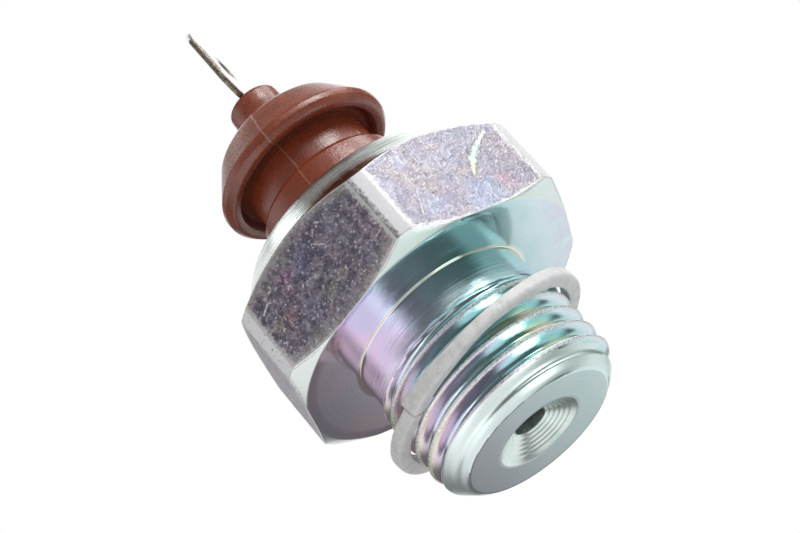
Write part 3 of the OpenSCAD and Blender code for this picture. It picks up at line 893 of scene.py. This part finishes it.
def make_insulator():
    """Moulded insulator, with a raised parting line on two sides."""
    seam = math.degrees(BLADE_TURN)
    degrees = [*np.arange(0, 360, 2.5)]
    for line in (seam, seam + 180):
        degrees += [line + a for a in SEAM_STEPS]
    degrees = sorted({round(a % 360, 3) for a in degrees})
    outline = rounded(INSULATOR, 5)
    outside = [outline[0]]
    for a, b in zip(outline[:-1], outline[1:]):
        k = max(1, int(np.linalg.norm(b - a) / 0.45))
        outside += [a + (b - a) * (i + 1) / k for i in range(k)]
    outside = np.array(outside)
    outside[:, 1] += SHOULDER
    g = lathe(outside, np.radians(degrees))
    off = np.abs((np.array(degrees) - seam + 90) % 180 - 90)
    r = outside[:, 0]
    z = outside[:, 1] - SHOULDER
    across = np.radians(off)[:, None] * r[None, :]
    lined = (z > 10) & (z < 22.6) & (r > 2.3)
    lift = SEAM_HEIGHT * np.exp(-((across / SEAM_WIDTH) ** 2)) * lined[None, :]
    g[..., :2] *= (1 + lift / np.maximum(r, 1)[None, :])[..., None]
    inside = lathe(np.array(INSULATOR_INSIDE) + [0, SHOULDER], np.radians(degrees))
    return solid("insulator_moulding", [(g, True), (inside, True)], [moulded()],
                 "switch_body", "insulator")


# loose ring: its radii, half its thickness, the angle of its joint, how much it leans, which way,
# and the height of its middle
RING_IN = 8.2
RING_OUT = 9.44
RING_HALF = 0.54
RING_JOINT = math.radians(8)
RING_LEAN = math.radians(8.8)
RING_LEAN_TURN = math.radians(-57)
RING_Z = SHOULDER - 5.36


def make_ring():
    """Loose sealing ring, bent from strip with its two ends meeting at a small step."""
    angles = RING_JOINT + np.linspace(0.004, 2 * math.pi - 0.004, 260)
    section = np.array(rounded([
        (RING_IN, 0), (RING_IN, -RING_HALF, 0.18), (RING_OUT, -RING_HALF, 0.30),
        (RING_OUT, RING_HALF, 0.30), (RING_IN, RING_HALF, 0.18), (RING_IN, 0),
    ], 6))
    g = lathe(section, angles)
    # share of the way round from the joint, for the step, the uneven thickness and the swell
    t = (angles - RING_JOINT) / (2 * math.pi)
    wave = -0.20 * np.exp(-((t - 1) / 0.035) ** 2) + 0.08 * np.exp(-(t / 0.05) ** 2)
    wave += 0.05 * np.sin(3 * angles + 1.0) + 0.03 * np.sin(7 * angles)
    thick = 1 + 0.34 * np.exp(-((t / 0.08) ** 2)) - 0.20 * np.exp(-(((t - 0.15) / 0.08) ** 2))
    swell = 1 + 0.010 * np.exp(-((t - 1) / 0.03) ** 2) - 0.008 * np.exp(-(t / 0.03) ** 2)
    g[..., 2] = g[..., 2] * thick[:, None] + wave[:, None]
    caps = []
    for k in (0, -1):
        cap = np.stack([g[k], np.broadcast_to(g[k].mean(0), g[k].shape)], 1)
        cap[..., :2] *= swell[k]
        caps.append(cap)
    g[..., :2] *= swell[:, None, None]
    turn = np.array(Matrix.Rotation(RING_LEAN_TURN, 3, "Z") @ Matrix.Rotation(RING_LEAN, 3, "Y"))
    grids = [(points @ turn.T + [0, 0, RING_Z], False) for points in (g, *caps)]
    return solid("sealing_washer", grids, [soft_aluminium()],
                 "switch_body", "sealing_ring")


def make_blade():
    """Flat terminal with cut corners and a latch hole, on its tang, heights over the shoulder."""
    half, tip, low, tang, t = 3.15, 33.05, 25.05, 1.5, 0.24
    tang_z, hole_z, hole_r, cut, bevel = 18.0, 28.95, 0.85, 1.9, 0.07
    right = [
        (2.2, low), (half, low + 1.5), (half, tip - cut),
        (half - 0.55 * cut, tip - 0.3 * cut), (half - cut, tip),
    ]
    left = [(-x, z) for x, z in reversed(right)]
    corners = [(-tang, tang_z), (tang, tang_z), (tang, low), *right, *left, (-tang, low)]
    outer = []
    for a, b in zip(corners, corners[1:] + corners[:1]):
        k = max(2, int(math.dist(a, b) / 0.5))
        outer += [(a[0] + (b[0] - a[0]) * i / k, a[1] + (b[1] - a[1]) * i / k) for i in range(k)]
    outer = np.array(outer)
    ang = np.arctan2(outer[:, 1] - hole_z, outer[:, 0])
    inner = np.stack([hole_r * np.cos(ang), hole_z + hole_r * np.sin(ang)], -1)
    mid = inner + (outer - inner) * 0.5
    step = (outer - inner) / np.linalg.norm(outer - inner, axis=1)[:, None] * bevel
    rim_in, rim_out = inner + step, outer - step
    # from the hole over one face, the edge and the other face back to the hole
    loops = [
        (inner, -t + bevel), (rim_in, -t), (mid, -t), (rim_out, -t), (outer, -t + bevel),
        (outer, t - bevel), (rim_out, t), (mid, t), (rim_in, t), (inner, t - bevel),
        (inner, -t + bevel),
    ]
    c, s = math.cos(BLADE_TURN), math.sin(BLADE_TURN)
    columns = []
    for loop, y in loops:
        x, z = loop.T
        columns.append(np.stack([x * c - y * s, x * s + y * c, z + SHOULDER], -1))
    normal = Vector((-s, c, 0))

    def pick(f):
        return 0 if abs(f.normal.dot(normal)) > 0.8 or f.normal.z > 0.2 else 1

    return solid("blade", [(np.stack(columns, 1), True)], [tin(), sheared()],
                 "switch_body", "terminal_blade", pick, 50)


make_body()
make_insulator()
make_ring()
make_blade()

# looks of the inner nodes, which keep their CAD shapes
rubber = simple("seal_rubber", (0.012, 0.012, 0.013), (0.035, 0.035, 0.037), 0.50, 3.0)
polyimide = simple("polyimide", (0.42, 0.17, 0.02), (0.58, 0.27, 0.04), 0.16, 0.8, 0.01)
steel = simple("pressed_steel", (0.42, 0.43, 0.44), (0.62, 0.63, 0.64), 0.26, 2.4, metallic=1.0)
brass = simple("turned_brass", (0.62, 0.44, 0.18), (0.80, 0.62, 0.30), 0.20, 5.0, 0.01,
               metallic=1.0, turned=True)
silver = simple("silvered", (0.72, 0.70, 0.66), (0.88, 0.87, 0.84), 0.18, metallic=1.0)
wire = simple("spring_wire", (0.48, 0.48, 0.50), (0.70, 0.70, 0.72), 0.20, 6.0, metallic=1.0)
ivory = simple("plunger_plastic", (0.66, 0.62, 0.50), (0.78, 0.75, 0.64), 0.34, 1.5)
INNER = {
    "diaphragm_seal": rubber, "insulator_seal": rubber,
    "diaphragm": polyimide, "backing_film": polyimide,
    "pressure_disc": steel, "guide_plate": steel, "crimp_washer": steel,
    "contact_ring": brass, "spring_cup": brass, "adjusting_screw": brass, "threaded_bush": brass,
    "contact_plate": silver, "contact_spring": wire, "plunger": ivory,
}
for name, material in INNER.items():
    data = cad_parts[name].data
    data.materials.clear()
    data.materials.append(material)


def make_spring():
    """Contact spring: a copy of the coil with its own mesh, on the body in place of the CAD node,
    in metres.
    """
    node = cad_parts["contact_spring"]
    o = add_object("spring_coil", node.data.copy())
    o.matrix_world = node.matrix_world.copy()
    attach(o, "switch_body")
    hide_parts("contact_spring")
    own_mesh(o)


make_spring()

# soft panels that shiny surfaces mirror: direction as the camera sees it, degrees from the middle
# where the panel begins to fade and where it ends, and brightness
PANELS = (
    ((0.45, 0.88, -0.15), 20, 31, 0.85),
    ((-0.17, 0.88, 0.44), 13, 20, 0.90),
    ((0.804, -0.282, -0.521), 20.5, 29.5, 0.74),
    ((0.97, 0.24, -0.02), 14, 30, 0.38),
    ((0.45, -0.62, 0.64), 22, 44, 0.66),
    ((-0.43, -0.74, 0.52), 29, 36, 0.90),
    ((-0.39, -0.47, 0.79), 4, 10, 0.60),
    ((0.13, -0.99, -0.09), 10, 28, 0.76),
    ((-0.93, -0.27, -0.20), 18, 31, 0.72),
    ((-0.91, 0.12, 0.40), 8, 26, 0.07),
    ((-0.04, 0.05, -1.0), 25, 32, 0.85),
    ((-0.08, 0.50, -0.86), 11, 17, 0.34),
    ((-0.48, 0.48, -0.73), 14, 24, 0.20),
    ((-0.545, 0.32, -0.78), 3, 8, 1.60),
    ((0.20, 0.13, -0.97), 10, 22, 0.60),
)
PANEL_BASE = 0.15
AMBIENT = 0.52


def make_world():
    """World: white to the camera, even light for matt surfaces, and soft panels for reflections."""
    world = bpy.data.worlds.new("studio")
    scene.world = world
    world.use_nodes = True
    n = Nodes(tree=world.node_tree)
    direction = n.vector("NORMALIZE", n.add("ShaderNodeTexCoord").outputs["Generated"])
    total = PANEL_BASE
    for d, inner, outer, value in PANELS:
        facing = n.vector("DOT_PRODUCT", direction, tuple(toward(*d)))
        panel = n.range(facing, math.cos(math.radians(outer)), math.cos(math.radians(inner)))
        total = n.math("ADD", total, n.times(panel, value))
    path = n.add("ShaderNodeLightPath")
    seen = n.math("MAXIMUM", path.outputs["Is Glossy Ray"], path.outputs["Is Transmission Ray"])
    strength = n.mix(seen, (AMBIENT, AMBIENT, AMBIENT), n.join(total, total, total))
    strength = n.mix(path.outputs["Is Camera Ray"], strength, (1.0, 1.0, 1.0))
    background = n.tree.nodes["Background"]
    n.set(background.inputs["Color"], strength)
    n.set(background.inputs["Strength"], 1.0)


make_world()

# floor, in metres
FLOOR_HALF = 1.5
FLOOR_Z = -0.00005


def make_floor():
    """Floor: white from above with the object's shadow, open from below where the camera is."""
    mesh = bpy.data.meshes.new("floor")
    s, z = FLOOR_HALF, FLOOR_Z
    mesh.from_pydata([(-s, -s, z), (s, -s, z), (s, s, z), (-s, s, z)], [], [(0, 1, 2, 3)])
    floor = add_object("floor", mesh)
    n = Nodes("floor")
    n.shade(Base_Color=(0.93, 0.93, 0.93), Roughness=0.9, Specular_IOR_Level=0.0)
    clear = n.add("ShaderNodeBsdfTransparent").outputs[0]
    white = n.add("ShaderNodeEmission").outputs[0]
    far = n.madd(n.range(n.vector("LENGTH", n.point()), 40.0, 200.0), 0.55, 0.45)
    ground = n.add("ShaderNodeMixShader", far, n.bsdf.outputs[0], white).outputs[0]
    front = n.math("SUBTRACT", 1.0, n.add("ShaderNodeNewGeometry").outputs["Backfacing"])
    shown = n.times(n.add("ShaderNodeLightPath").outputs["Is Camera Ray"], front)
    out = n.add("ShaderNodeMixShader", shown, clear, ground).outputs[0]
    n.set(n.tree.nodes["Material Output"].inputs["Surface"], out)
    mesh.materials.append(n.material)


make_floor()

# middle of the part, which the lamps point at, in metres
LAMP_AIM = Vector((0, 0, 0.022))


def lamp(name, d, distance, size, power):
    """A round lamp in one direction from the part, distance and size in metres."""
    data = bpy.data.lights.new(name, "AREA")
    data.shape = "DISK"
    data.size = size
    data.energy = power
    o = add_object(name, data)
    o.location = LAMP_AIM + d * distance
    o.rotation_mode = "QUATERNION"
    o.rotation_quaternion = d.to_track_quat("Z", "Y")


lamp("key", toward(0.10, 0.98, 0.14), 0.35, 0.16, 0.50)
lamp("top", toward(0.20, 0.87, -0.45), 0.35, 0.12, 0.13)
lamp("fill", toward(0.75, -0.15, 0.55), 0.40, 0.20, 0.20)
